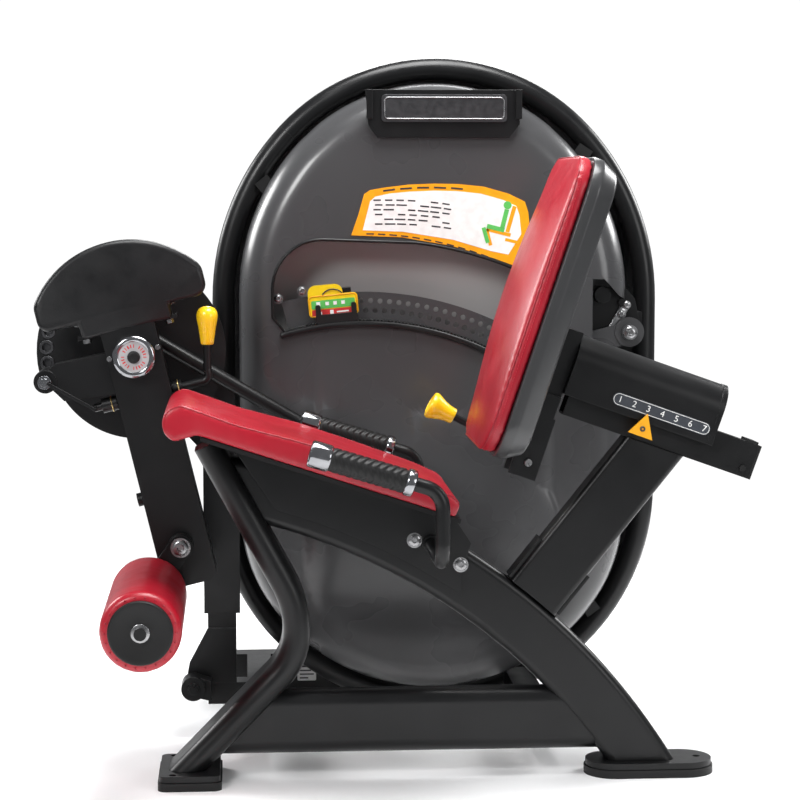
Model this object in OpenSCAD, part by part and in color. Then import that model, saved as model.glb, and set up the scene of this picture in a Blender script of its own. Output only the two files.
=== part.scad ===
// Seated leg extension machine with an oval weight tower beside the user.
// Millimetres. +X runs from the user's shins to the back rest, +Y to the tower, +Z up.
// Numbers below are in a frame with y = 0 on the seat's centre plane; place() moves it to the origin.

/* [Seat] */
// Width of the seat pad
seat_w = 350; // [320:5:360]
// Thickness of the seat board
board_t = 8; // [6:1:10]
// Slope of the seat board in degrees
seat_slope = 18.2; // [17:0.1:19]

/* [Back rest] */
// Width of the back pad
back_w = 380; // [340:5:390]
// Lean of the back pad in degrees
back_tilt = 18.6; // [17:0.1:20]
// Height of the back pad along its face
back_h = 560; // [500:5:565]
// Slope of the slide rail in degrees
rail_slope = 19.5; // [19:0.1:20]

/* [Frame] */
// Thickness of the spine tube across the machine
spine_t = 60; // [50:1:64]
// Depth of the spine tube in its plane
spine_d = 107; // [100:1:112]
// Thickness of the foot plates
plate_t = 12; // [10:1:14]
// Thickness of the rubber under the feet
rubber_t = 15; // [10:1:18]
// Radius of the floor anchor holes
anchor_r = 7; // [5:0.5:8]

/* [Hand grips] */
// Radius of the bent handle tube
bar_r = 12.7; // [11:0.1:14]
// Outer radius of the rubber grip
grip_r = 22; // [18:0.5:24]
// Distance of each handle from the centre plane
handle_y = 270; // [262:1:275]

/* [Leg arm] */
// Height of the knee axis above the floor
knee_z = 770; // [765:1:775]
// Backward lean of the hanging leg arm in degrees
arm_tilt = 13.5; // [12:0.5:15]
// Width of the leg arm tube
arm_w = 104; // [96:1:110]
// Radius of the shin roller
roller_r = 72; // [60:1:75]
// Length of the shin roller
roller_l = 395; // [360:5:400]
// Radius of the drive disc
disc_r = 172; // [168:1:174]

/* [Tower] */
// Radius of the tower's ring tube
ring_r = 23; // [19:1:25]
// Half width of the ring at its centreline
ring_half = 437; // [432:1:442]
// Depth of the front shroud
shroud_d = 105; // [95:1:110]

/* [Hidden] */
$fn = 48;
centre_x = 282.4;
centre_y = 204.75;
wall = 3.5;
run = 0.06;
// Butt gap that keeps the bent pieces of one tube apart at their welds
weld = 0.02;
foot_z = rubber_t + plate_t;

// Curved spine tube: arc about a point far below the seat
spine_cx = -260;
spine_cz = -620;
spine_mid = 1191;

// Front leg: two arcs and two straights
leg_t = 50;
leg_y = 114;
leg_low_x = -17;
leg_low_z = 280;
leg_low_r = 118;
leg_low_a = 44.3;
leg_up_r = 190;
leg_up_a = 28.5;
leg_up_x = leg_low_x + leg_low_r - leg_up_r;

// Knee axis and leg arm
knee_x = -199;
arm_y0 = 190;
arm_y1 = 246;
arm_top = 60;
arm_low = 452;
shaft_r = 15;
index_x = -175.7;
index_z = -8;
index_r = 177;
pin_r = 7;
shaft_line = -80;
link_x = -114;
link_z = 408;
roller_x = -174;
roller_z = 322;

// Drive disc, connecting rod and input crank
disc_y0 = 328;
disc_y1 = 340;
crank_x = 216;
crank_z = 528;
throw_x = -22;
throw_z = 56;
rod_y = 310;
rod_r = 13.5;

// Tower
ring_y = 550;
ring_cx = 405;
ring_low_z = 463;
ring_high_z = 860;
ring_side_r = 497;
ring_join_a = 43.1;
ring_shift = (ring_side_r - ring_half) / cos(ring_join_a);
shroud_cx = 395;
shroud_half = 395;
shroud_y = 410;
shroud_low_z = 426;
shroud_high_z = 870;
arc_x = 247;
arc_z = 235;
sector_x = 793;
sector_z = 796;
sector_y0 = 440;
sector_y1 = 448;

// Slide rail and back rest frames
rail_x = 750;
rail_z = 652;
rail_h = 65;
rail_w = 50;
rail_u0 = -160;
rail_u1 = 207;
car_w = 100;
car_lift = 60;
car_low = 4;
car_u0 = -174;
car_u1 = 106;
back_x = 412;
back_z = 621;
lever_x = 524;
lever_z = 588;

// Helpers
module place() {
  translate([-centre_x, -centre_y, 0]) children();
}

module slab(y0, y1) {
  translate([0, y1, 0]) rotate([90, 0, 0]) linear_extrude(height = y1 - y0) children();
}

module peg(x, z, r, y0, y1) {
  translate([x, y1, z]) rotate([90, 0, 0]) cylinder(r = r, h = y1 - y0);
}

module hexpeg(x, z, r, y0, y1) {
  translate([x, y1, z]) rotate([90, 0, 0]) cylinder(r = r, h = y1 - y0, $fn = 6);
}

module bar2d(a, b, r) {
  run_x = b[0] - a[0];
  run_z = b[1] - a[1];
  translate(a) circle(r = r);
  translate(b) circle(r = r);
  translate(a) rotate(atan2(run_z, run_x)) translate([0, 2 - r]) square([norm([run_x, run_z]), 2 * r - 4]);
}

module round2d(w, h, r) {
  square([w - 2 * r, h], center = true);
  square([w, h - 2 * r], center = true);
  for (sx = [-1, 1], sz = [-1, 1])
    translate([sx * (w / 2 - r), sz * (h / 2 - r)]) circle(r = r);
}

module stadium2d(w, h) {
  square([w, h - w], center = true);
  for (s = [-1, 1])
    translate([0, s * (h - w) / 2]) circle(r = w / 2);
}

module ring_piece(x, z, r, a0, sweep, tube) {
  translate([x, 0, z]) rotate([90, 0, 0]) rotate([0, 0, a0])
    rotate_extrude(angle = sweep, $fn = 96) translate([r, 0]) circle(r = tube, $fn = 32);
}

function arc_pts(x, z, r, a0, a1, n) = [for (i = [0:n]) let (a = a0 + (a1 - a0) * i / n) [x + r * cos(a), z + r * sin(a)]];

// Frame on the user's side
module spine_solid(grow) {
  translate([spine_cx, 0, spine_cz]) rotate([90, 0, 0]) rotate([0, 0, 30])
    rotate_extrude(angle = 49.3, $fn = 180)
      translate([spine_mid, 0]) round2d(spine_d + 2 * grow, spine_t + 2 * grow, 16);
}

module spine_bar() {
  difference() {
    spine_solid(0);
    translate([300, -100, -200]) cube([900, 200, 200 + foot_z]);
  }
}

module leg_profile() {
  stadium2d(leg_t, leg_y);
}

module leg_top() {
  translate([leg_up_x + leg_up_r * cos(leg_up_a), 0, leg_low_z + leg_up_r * sin(leg_up_a)])
    rotate([0, -leg_up_a, 0]) children();
}

module leg_bottom() {
  translate([leg_low_x + leg_low_r * cos(leg_low_a), 0, leg_low_z - leg_low_r * sin(leg_low_a)])
    rotate([0, 180 + leg_low_a, 0]) children();
}

module leg_solid() {
  difference() {
    union() {
      translate([leg_low_x, 0, leg_low_z]) rotate([90, 0, 0]) rotate([0, 0, -leg_low_a])
        rotate_extrude(angle = leg_low_a, $fn = 96) translate([leg_low_r, 0]) leg_profile();
      translate([leg_up_x, 0, leg_low_z + weld]) rotate([90, 0, 0])
        rotate_extrude(angle = leg_up_a, $fn = 96) translate([leg_up_r, 0]) leg_profile();
      leg_top() translate([0, 0, 2 * weld]) linear_extrude(height = 290) leg_profile();
      leg_bottom() translate([0, 0, weld]) linear_extrude(height = 330) leg_profile();
    }
    translate([-400, -100, -300]) cube([600, 200, 300 + foot_z]);
    seat_frame() translate([-300, -200, -1]) cube([600, 400, 200]);
  }
}

function seat_line(x) = 622 - x * tan(seat_slope);

module front_leg() {
  color("#1b1c1e") place() leg_solid();
}

module spine_tube() {
  color("#1b1c1e") place() difference() {
    spine_bar();
    leg_top() translate([-500, -100, -300]) cube([500 + leg_t / 2, 200, 800]);
  }
}

module rail_bar() {
  translate([-60, 0, 108]) rotate([0, 90, 0]) linear_extrude(height = 740) rotate(90) stadium2d(55, 120);
}

module base_rail() {
  color("#1b1c1e") place() difference() {
    rail_bar();
    spine_solid(0);
    leg_bottom() translate([-leg_t / 2, -100, -200]) cube([300, 200, 600]);
    translate([665, -100, -10]) cube([200, 200, 200]);
  }
}

module anchors(points, r, z0, z1) {
  for (p = points)
    translate([p[0], p[1], z0]) cylinder(r = r, h = z1 - z0);
}

front_anchors = [[-126, -72], [-126, 72]];
rear_anchors = [[849, 0]];

module front_foot() {
  color("#1b1c1e") place() difference() {
    translate([-95, 0, rubber_t]) linear_extrude(height = plate_t) round2d(110, 172, 14);
    anchors(front_anchors, anchor_r, 0, 60);
  }
}

module rear_foot() {
  color("#1b1c1e") place() difference() {
    translate([758, 0, rubber_t]) linear_extrude(height = plate_t) round2d(236, 107, 53);
    anchors(rear_anchors, anchor_r, 0, 60);
  }
}

module foot_rubbers() {
  color("#151515") place() {
    difference() {
      translate([-95, 0, 0]) linear_extrude(height = rubber_t) round2d(116, 178, 16);
      anchors(front_anchors, anchor_r + 9, -5, 60);
    }
    difference() {
      translate([758, 0, 0]) linear_extrude(height = rubber_t) round2d(242, 113, 56);
      anchors(rear_anchors, anchor_r + 9, -5, 60);
    }
    for (x = [-39, 575])
      translate([x, 675, 0]) cylinder(r = 28, h = rubber_t);
    translate([235, ring_y, 0]) cylinder(r = 26, h = rubber_t);
  }
}

column_a = [545, 347];
column_lean = 38.8;

module column_bar() {
  translate([column_a[0], 0, column_a[1]]) rotate([0, column_lean, 0]) translate([0, 0, -60])
    linear_extrude(height = 460) round2d(108, 60, 10);
}

module rail_frame() {
  translate([rail_x, 0, rail_z]) rotate([0, rail_slope, 0]) children();
}

module rail_solid() {
  rail_frame() translate([rail_u0, -rail_w / 2, -rail_h / 2]) cube([rail_u1 - rail_u0, rail_w, rail_h]);
}

module column() {
  color("#1b1c1e") place() difference() {
    column_bar();
    translate([spine_cx, 40, spine_cz]) rotate([90, 0, 0])
      cylinder(r = spine_mid + spine_d / 2, h = 80, $fn = 180);
    rail_frame() translate([-400, -60, -rail_h / 2]) cube([800, 120, 300]);
  }
}

module column_gussets() {
  color("#1b1c1e") place() translate([column_a[0], 0, column_a[1]]) rotate([0, column_lean, 0])
    for (s = [-1, 1])
      translate([s * 57 - 3, -22, -10]) cube([6, 44, 90]);
}

module slide_rail() {
  color("#1b1c1e") place() difference() {
    rail_solid();
    rail_frame() translate([rail_u0 - 5, -rail_w / 2 + wall, -rail_h / 2 + wall])
      cube([rail_u1 - rail_u0 + 10, rail_w - 2 * wall, rail_h - 2 * wall]);
    for (i = [0:6])
      rail_frame() translate([-129.4 + i * 27.4, 0, 20]) cylinder(r = 7, h = 20);
  }
}

module rail_end_plug() {
  color("#101010") place() rail_frame() {
    translate([rail_u1, -rail_w / 2, -rail_h / 2]) cube([4, rail_w, rail_h]);
    translate([rail_u1 - 14, -rail_w / 2 + wall, -rail_h / 2 + wall])
      cube([14, rail_w - 2 * wall, rail_h - 2 * wall]);
    translate([rail_u1 - 26, -rail_w / 2, rail_h / 2]) cube([22, rail_w, 5]);
    translate([rail_u1 - 17, -rail_w / 2, -17]) rotate([90, 0, 0]) cylinder(r = 6, h = 4);
  }
}

module pointer() {
  color("#f2a316") place() rail_frame() {
    translate([-26, -56, -22]) cube([16, 31, 12]);
    translate([0, -56, 0]) rotate([90, 0, 0]) linear_extrude(height = 5) polygon([[-41, -22], [6, -22], [-18, 21]]);
    translate([-18, -61, -8]) rotate([90, 0, 0]) cylinder(r = 4, h = 2);
  }
}

module seat_frame() {
  translate([0, 0, 622]) rotate([0, seat_slope, 0]) children();
}

module seat_supports() {
  color("#1b1c1e") place() {
    for (s = [-1, 1])
      difference() {
        slab(s * (spine_t / 2 + 4) - 4, s * (spine_t / 2 + 4) + 4)
          polygon(concat([[-20, seat_line(-20)], [383, seat_line(383)], [420, 440], [402, 385]],
            arc_pts(spine_cx, spine_cz, spine_mid - 20, 55.5, 74, 12)));
        leg_top() translate([-500, -100, -300]) cube([500 + leg_t / 2, 200, 800]);
      }
    for (x = [40, 300])
      difference() {
        seat_frame() translate([x, -spine_t / 2, -60]) cube([30, spine_t, 60]);
        translate([spine_cx, 60, spine_cz]) rotate([90, 0, 0])
          cylinder(r = spine_mid + spine_d / 2, h = 120, $fn = 180);
      }
  }
}

module seat_board() {
  color("#161616") place() seat_frame() translate([-74, -160, 0]) cube([482, 320, board_t]);
}

module seat_pad() {
  color("#c2142e") place() slab(-seat_w / 2, seat_w / 2)
    polygon(concat(arc_pts(-104, 676, 38, 255, 80, 10),
      [[112, 648], [330, 571], [378, 549], [394, 533], [383, seat_line(383) + 9.2], [-76, seat_line(-76) + 9.2]]));
}

handle_slope = 17;
handle_front = [124, 634];
handle_len = 181;
bend_r = 40;

module handle_side(s) {
  top_x = 347 - bend_r + bend_r * sin(handle_slope);
  top_z = handle_front[1] - (top_x - handle_front[0]) * tan(handle_slope);
  bend_z = top_z - bend_r * cos(handle_slope);
  inner_y = spine_t / 2 + 8;
  translate([handle_front[0], s * handle_y, handle_front[1]]) rotate([0, 90 + handle_slope, 0])
    cylinder(r = bar_r, h = (top_x - handle_front[0]) / cos(handle_slope) - weld);
  translate([347 - bend_r, s * handle_y, bend_z]) rotate([90, 0, 0])
    rotate_extrude(angle = 90 - handle_slope) translate([bend_r, 0]) circle(r = bar_r);
  translate([347, s * handle_y, 475 + weld]) cylinder(r = bar_r, h = bend_z - 475 - 2 * weld);
  translate([347, s * (handle_y - 35), 475]) rotate([0, 0, s * 90]) rotate([90, 0, 0])
    rotate([0, 0, -90]) rotate_extrude(angle = 90) translate([35, 0]) circle(r = bar_r);
  translate([347, s * (inner_y + 6), 440]) rotate([-s * 90, 0, 0])
    cylinder(r = bar_r, h = handle_y - 35 - inner_y - 6 - weld);
  translate([347, s * inner_y, 440]) rotate([-s * 90, 0, 0]) cylinder(r = 16.5, h = 6 - weld);
}

module handle_bars() {
  color("#1b1c1e") place() {
    handle_side(-1);
    handle_side(1);
  }
}

module on_handle(s) {
  translate([handle_front[0], s * handle_y, handle_front[1]]) rotate([0, 90 + handle_slope, 0]) children();
}

module hand_grips() {
  color("#202022") place() for (s = [-1, 1]) on_handle(s) translate([0, 0, 12]) difference() {
    cylinder(r = grip_r, h = handle_len - 24);
    translate([0, 0, -1]) cylinder(r = bar_r, h = handle_len);
  }
}

module grip_collars() {
  color("#c9cbce") place() for (s = [-1, 1]) on_handle(s) {
    difference() {
      translate([0, 0, -6]) cylinder(r = grip_r + 1.5, h = 18);
      cylinder(r = bar_r, h = 40);
    }
    difference() {
      translate([0, 0, handle_len - 12]) cylinder(r = grip_r + 1.5, h = 14);
      cylinder(r = bar_r, h = 300);
    }
  }
}

module frame_bolts() {
  color("#8d8f93") place() for (p = [[316, 447], [401, 401]], s = [-1, 1]) {
    if (s < 0) peg(p[0], p[1], 14, -spine_t / 2 - 14, -spine_t / 2 - 8);
    if (s > 0) peg(p[0], p[1], 14, spine_t / 2 + 8, spine_t / 2 + 14);
  }
}

// Tower
module ring_run(grow) {
  tube = ring_r + grow;
  translate([0, ring_y, 0]) {
    ring_piece(ring_cx, ring_low_z, ring_half, 180, 180, tube);
    for (s = [-1, 1])
      translate([ring_cx + s * ring_half, 0, ring_low_z + weld])
        cylinder(r = tube, h = ring_high_z - ring_low_z - 2 * weld, $fn = 32);
    ring_piece(ring_cx - ring_side_r + ring_half, ring_high_z, ring_side_r, 0, ring_join_a - weld, tube);
    ring_piece(ring_cx + ring_side_r - ring_half, ring_high_z, ring_side_r, 180 - ring_join_a + weld,
      ring_join_a - weld, tube);
    ring_piece(ring_cx, ring_high_z + ring_shift * sin(ring_join_a), ring_side_r - ring_shift,
      ring_join_a, 180 - 2 * ring_join_a, tube);
  }
}

module tower_ring() {
  color("#1a1b1d") place() ring_run(0);
}

module cross_tubes() {
  color("#1a1b1d") place() {
    translate([12, 27.5, 54]) cube([50, 622.5, 44]);
    translate([-67, 376, 54]) cube([79, 48, 44]);
    difference() {
      translate([548, 27.5, 54]) cube([54, 622.5, 34]);
      translate([530, ring_y - 24, 30]) cube([90, 48, 100]);
    }
    translate([-64, 650, rubber_t]) cube([666, 50, 83]);
    translate([210, ring_y - 20, rubber_t]) cube([50, 120, 12]);
  }
}

module tower_upright() {
  color("#1a1b1d") place() {
    translate([-67, 376, 98]) cube([57, 48, 602]);
    slab(370, 376) polygon([[-67, 210], [-10, 210], [-10, 98], [-112, 98], [-104, 140]]);
    slab(370, 376) polygon([[-74, 560], [-2, 560], [-2, 240], [-74, 240]]);
  }
}

module base_lug() {
  color("#1a1b1d") place() {
    difference() {
      union() {
        peg(-96, 97, 24, 320, 370);
        slab(330, 370) polygon([[-100, 80], [-60, 70], [-60, 110], [-86, 118]]);
      }
      peg(-96, 97, 12, 310, 380);
    }
    peg(-96, 97, 12, 314, 370);
    hexpeg(-96, 97, 9, 308, 314);
  }
}

module knee_bearing() {
  color("#1a1b1d") place() difference() {
    union() {
      peg(knee_x, knee_z, 44, 346, 370);
      slab(354, 376) polygon([[knee_x - 30, knee_z - 34], [knee_x + 20, knee_z + 42], [-10, 700], [-10, 580],
        [-67, 560]]);
    }
    peg(knee_x, knee_z, shaft_r + run, 330, 390);
  }
}

module crank_bracket() {
  color("#1a1b1d") place() difference() {
    union() {
      peg(crank_x, crank_z, 36, 346, 402);
      translate([-10, 378, crank_z - 22]) cube([crank_x + 10, 24, 44]);
    }
    peg(crank_x, crank_z, shaft_r + run, 330, 410);
  }
}

module shroud2d(inset) {
  half = shroud_half - inset;
  side_r = half + 60;
  top_shift = 60 / cos(ring_join_a);
  corner_r = 330 - inset;
  floor_r = 408 - inset;
  polygon(concat(
    arc_pts(shroud_cx - 60, shroud_high_z, side_r, 0, ring_join_a, 6),
    arc_pts(shroud_cx, shroud_high_z + 56.2, side_r - top_shift, ring_join_a + 8, 172 - ring_join_a, 10),
    arc_pts(shroud_cx + 60, shroud_high_z, side_r, 180 - ring_join_a, 180, 6),
    arc_pts(shroud_cx - half + corner_r, shroud_low_z, corner_r, 180, 213.4, 5),
    arc_pts(shroud_cx, 469, floor_r, 218, 322, 14),
    arc_pts(shroud_cx + half - corner_r, shroud_low_z, corner_r, 326.6, 360, 5)));
}

module window2d() {
  polygon(concat(
    arc_pts(arc_x, arc_z, 580, 105, 56, 12),
    [[615, 790], [610, 880]],
    arc_pts(262, 226, 757, 64, 83, 6),
    arc_pts(166, 886, 98, 90, 180, 6),
    [[68, 830]]));
}

module shroud_front() {
  color("#3a3b3f") place() difference() {
    slab(shroud_y, shroud_y + shroud_d) shroud2d(0);
    slab(shroud_y + 4, shroud_y + shroud_d + 5) shroud2d(6);
    slab(shroud_y - 5, shroud_y + 10) window2d();
    peg(crank_x, crank_z, 26, shroud_y - 5, shroud_y + 10);
    translate([712, shroud_y - 5, 745]) cube([100, 140, 165]);
  }
}

module shroud_rear() {
  color("#303134") place() difference() {
    slab(586, 700) shroud2d(-38);
    slab(580, 695) shroud2d(-32);
    translate([-100, 560, 0]) cube([1000, 160, 112]);
  }
}

module shroud_clips() {
  color("#1a1b1d") place() for (p = [[62, 1086], [700, 1150], [722, 224], [96, 240]])
    rotate_clip(p);
}

module rotate_clip(p) {
  away = atan2(p[1] - 680, p[0] - shroud_cx);
  translate([p[0], 521, p[1]]) rotate([0, -away, 0]) translate([-14, -4, -16]) cube([40, 10, 32]);
  peg(p[0], p[1], 7, shroud_y + shroud_d, 517);
}

module window_backing() {
  color("#111214") place() slab(500, 503) polygon([[20, 740], [680, 740], [680, 1010], [46, 1010], [20, 950]]);
}

module header_bracket() {
  color("#17181a") place() {
    slab(shroud_y - 12, shroud_y) polygon([[252, 1283], [566, 1283], [560, 1214], [540, 1188], [276, 1188],
      [258, 1214]]);
    for (x = [254, 552])
      slab(shroud_y - 22, shroud_y - 12) polygon([[x, 1225], [x + 12, 1225], [x + 12, 1283], [x, 1283]]);
  }
}

module header_plate() {
  color("#26282b") place() slab(shroud_y - 18, shroud_y - 12) translate([409, 1246]) round2d(250, 54, 8);
}

module placard() {
  color("#f0a020") place() slab(shroud_y - 1.5, shroud_y) polygon([[224, 994], [325, 990], [424, 973], [510, 948],
    [557, 931], [585, 990], [580, 1040], [573, 1061], [540, 1077], [490, 1091], [440, 1096], [390, 1097],
    [340, 1095], [290, 1089], [262, 1084], [250, 1076], [238, 1034]]);
}

module serial_label() {
  color("#e8e8e8") place() slab(649, 650) translate([139, 58]) round2d(40, 38, 3);
}

module sector_bracket() {
  color("#17181a") place() {
    difference() {
      union() {
        slab(456, 462) polygon(concat(arc_pts(sector_x, sector_z, 28, -60, 10, 6),
          [[806, 864], [790, 882], [700, 894], [688, 850], [742, 758]]));
        peg(sector_x, sector_z, 20, 456, 470);
        translate([ring_cx + ring_half - 47, 462, sector_z - 6]) cube([27, ring_y - 462, 46]);
      }
      peg(sector_x, sector_z, 12 + run, 430, 480);
      translate([ring_cx + ring_half, ring_y, 700]) cylinder(r = ring_r, h = 200);
    }
    peg(737, 872, 17, 436, 456);
    peg(779, 856, 8, 448, 456);
  }
}

// Drive disc and knee shaft
module drive_disc() {
  color("#222326") place() difference() {
    union() {
      peg(knee_x, knee_z, disc_r, disc_y0, disc_y1);
      slab(disc_y0, disc_y1) translate([knee_x, knee_z]) polygon(concat([[0, 0]],
        arc_pts(0, 0, index_r + 19, 205, 145, 10)));
      peg(knee_x + throw_x, knee_z + throw_z, 24, disc_y0 - 4, disc_y1);
    }
    peg(knee_x, knee_z, shaft_r, disc_y0 - 10, disc_y1 + 10);
    for (i = [0:4]) {
      a = 197.3 - 10 * i;
      peg(knee_x + index_r * cos(a), knee_z + index_r * sin(a), 14.5, disc_y0 - 10, disc_y1 + 10);
    }
  }
}

module index_bushings() {
  color("#3c3d40") place() for (i = [0:4]) {
    a = 197.3 - 10 * i;
    difference() {
      peg(knee_x + index_r * cos(a), knee_z + index_r * sin(a), 14.5, disc_y0, disc_y1);
      peg(knee_x + index_r * cos(a), knee_z + index_r * sin(a), pin_r + 1, disc_y0 - 5, disc_y1 + 5);
    }
  }
}

module knee_shaft() {
  color("#8d8f93") place() {
    peg(knee_x, knee_z, shaft_r, 176, 372);
    difference() {
      peg(knee_x, knee_z, 20, disc_y0 - 16, disc_y0);
      peg(knee_x, knee_z, shaft_r, disc_y0 - 20, disc_y0 + 2);
    }
    peg(knee_x + throw_x, knee_z + throw_z, 8, 296, disc_y0 - 4);
  }
}

// Leg arm
module arm_frame() {
  translate([knee_x, 0, knee_z]) rotate([0, -arm_tilt, 0]) children();
}

module leg_arm() {
  color("#1c1d1f") place() arm_frame() difference() {
    union() {
      slab(arm_y0, arm_y1) {
        translate([-arm_w / 2, -arm_low + 22]) square([arm_w, arm_low + arm_top - 22]);
        translate([-arm_w / 2 + 22, -arm_low]) square([arm_w - 44, 60]);
        for (s = [-1, 1])
          translate([s * (arm_w / 2 - 22), -arm_low + 22]) circle(r = 22);
      }
      slab(arm_y0 + 4, arm_y1 - 4) translate([-96, arm_top - 8]) square([192, 8]);
      translate([-arm_w / 2 - 11, arm_y0 + 28, -272]) rotate([0, 90, 0]) cylinder(r = 13, h = 12);
    }
    peg(0, 0, shaft_r + run, 100, 300);
    translate([-arm_w, 218, shaft_line]) rotate([0, 90, 0]) cylinder(r = 8 + run, h = 2 * arm_w);
    peg(0, 0, 33, 246 - 3, 300);
  }
}

module counterweight() {
  color("#1d1e20") place() arm_frame() slab(188, 248) intersection() {
    translate([0, 23]) circle(r = 198, $fn = 96);
    union() {
      translate([-163, 104]) square([326, 140]);
      translate([-141, 82]) square([282, 60]);
      for (s = [-1, 1])
        translate([s * 141, 104]) circle(r = 22);
      translate([-88, arm_top]) square([176, 60]);
    }
  }
}

module arm_bolts() {
  color("#b9bbbe") place() arm_frame() {
    for (s = [-1, 1]) {
      translate([s * 80, 206, arm_top - 16]) cylinder(r = 8, h = 8, $fn = 6);
      peg(s * 47, 6, 5, arm_y0 - 3, arm_y0);
    }
  }
}

module knee_cap() {
  color("#d0d2d5") place() difference() {
    union() {
      peg(knee_x, knee_z, 41, 164, 190);
      peg(knee_x, knee_z, 37, 160, 164);
    }
    peg(knee_x, knee_z, shaft_r + 1, 174, 200);
    peg(knee_x, knee_z, 28, 158, 161.5);
  }
}

module knee_label() {
  color("#f4f4f4") place() {
    difference() {
      peg(knee_x, knee_z, 28, 160.5, 161.5);
      peg(knee_x, knee_z, 14, 158, 163);
    }
    peg(knee_x, knee_z, 13, 157, 161.5);
  }
}

module index_bracket() {
  color("#1b1c1e") place() arm_frame() difference() {
    union() {
      slab(198, 240) polygon([[-arm_w / 2, 18], [-arm_w / 2, -62], [-150, -52], [-168, -24], [-166, 12],
        [-150, 20]]);
      peg(index_x, index_z, 22, 196, 290);
    }
    peg(index_x, index_z, pin_r + run, 180, 310);
  }
}

module index_pin() {
  color("#b4b6b9") place() arm_frame() {
    peg(index_x, index_z, pin_r, 186, disc_y0 - 0.6);
    peg(index_x, index_z, 13, 178, 186);
    peg(index_x, index_z, 8, 172, 178);
  }
}

module start_lever() {
  color("#1b1c1e") place() arm_frame() translate([0, 218, shaft_line]) {
    translate([-100, 0, 0]) rotate([0, 90, 0]) cylinder(r = 8, h = 212);
    translate([-84, 0, 0]) rotate([0, 90, 0]) cylinder(r = 14, h = 30);
    translate([54, 0, 0]) rotate([0, 90, 0]) cylinder(r = 14, h = 18);
    translate([112, 0, 15]) rotate([90, 0, 0]) rotate([0, 0, -90])
      rotate_extrude(angle = 90 + arm_tilt) translate([15, 0]) circle(r = 8);
    translate([112 + 15 * cos(arm_tilt), 0, 15 + 15 * sin(arm_tilt)]) rotate([0, arm_tilt, 0])
      cylinder(r = 8, h = 54);
    translate([-100, -49, -3]) cube([5, 41, 6]);
    translate([-96, -52, -3]) rotate([0, 43, 0]) translate([-104, 0, 0]) cube([104, 3, 6]);
  }
}

module lever_knob() {
  color("#f6c414") place() arm_frame() translate([0, 218, shaft_line])
    translate([112 + 15 * cos(arm_tilt), 0, 15 + 15 * sin(arm_tilt)]) rotate([0, arm_tilt, 0]) translate([0, 0, 54]) {
      cylinder(r1 = 12, r2 = 20, h = 44);
      translate([0, 0, 44]) cylinder(r = 20, h = 6);
      translate([0, 0, 50]) intersection() {
        sphere(r = 20);
        translate([-25, -25, 0]) cube([50, 50, 30]);
      }
    }
}

// Shin roller
module roller_link() {
  color("#1b1c1e") place() {
    slab(164, 186) bar2d([link_x, link_z], [roller_x, roller_z], 24);
    peg(link_x, link_z, 22, 158, 166);
    hexpeg(link_x, link_z, 12, 150, 160);
    peg(link_x, link_z, 14, 184, 189.5);
    peg(roller_x, roller_z, 11, -256, 184);
  }
}

module roller_pad() {
  color("#c2142e") place() difference() {
    peg(roller_x, roller_z, roller_r, 150 - roller_l, 150);
    peg(roller_x, roller_z, 11 + run, -260, 170);
  }
}

module roller_caps() {
  color("#17181a") place() difference() {
    union() {
      peg(roller_x, roller_z, 52, 150 - roller_l - 5, 150 - roller_l);
      peg(roller_x, roller_z, 52, 150, 154);
      peg(roller_x, roller_z, 18, 150 - roller_l - 8, 150 - roller_l - 5);
    }
    peg(roller_x, roller_z, 11 + run, -300, 170);
  }
}

// Rod and input crank
module connecting_rod() {
  ax = knee_x + throw_x;
  az = knee_z + throw_z;
  bx = crank_x + throw_x;
  bz = crank_z + throw_z;
  fall = atan2(bz - az, bx - ax);
  color("#1d1e20") place() difference() {
    union() {
      peg(ax, az, 20, rod_y - 12, rod_y + 12);
      peg(bx, bz, 20, rod_y - 12, rod_y + 12);
      translate([ax, rod_y, az]) rotate([0, 90 - fall, 0]) translate([0, 0, 12])
        cylinder(r = rod_r, h = norm([bx - ax, bz - az]) - 24);
    }
    peg(ax, az, 8 + run, 280, 340);
    peg(bx, bz, 8 + run, 280, 340);
  }
}

module input_crank() {
  color("#222326") place() {
    slab(disc_y0, disc_y1) bar2d([crank_x, crank_z], [crank_x + throw_x, crank_z + throw_z], 24);
    peg(crank_x + throw_x, crank_z + throw_z, 8, 296, disc_y0);
    peg(crank_x, crank_z, shaft_r, disc_y1, 470);
    slab(455, 470) bar2d([crank_x, crank_z], [crank_x + 60, crank_z - 20], 22);
  }
}

// Weight arm and selector
module weight_arm() {
  color("#26272a") place() {
    difference() {
      translate([arc_x, sector_y1, arc_z]) rotate([90, 0, 0]) rotate([0, 0, 55])
        rotate_extrude(angle = 49.6, $fn = 180) translate([589, 0]) square([56, sector_y1 - sector_y0]);
      for (i = [0:17], r = [608, 627]) {
        a = 91 - i * 1.75 - (r > 610 ? 0.85 : 0);
        peg(arc_x + r * cos(a), arc_z + r * sin(a), 5.2, sector_y0 - 5, sector_y1 + 5);
      }
    }
    slab(sector_y0 + 1, sector_y1 - 1) bar2d([610, 747], [sector_x, sector_z], 24);
    peg(sector_x, sector_z, 30, sector_y0 - 1, sector_y1 + 1);
    peg(sector_x, sector_z, 12, 432, 470);
    peg(sector_x, sector_z, 17, 430, 442);
  }
}

carriage_a = 95;

module at_carriage(a) {
  translate([arc_x, 0, arc_z]) rotate([0, 90 - a, 0]) children();
}

module selector_carriage() {
  color("#17181a") place() at_carriage(carriage_a) {
    translate([-34, sector_y0 - 10, 585]) cube([68, 9.5, 66]);
    translate([-34, sector_y1 + 0.5, 585]) cube([68, 9.5, 66]);
    translate([-34, sector_y0 - 10, 646]) cube([68, 28, 8]);
    translate([-30, sector_y1 + 10, 600]) cube([60, 24, 44]);
  }
}

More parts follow.
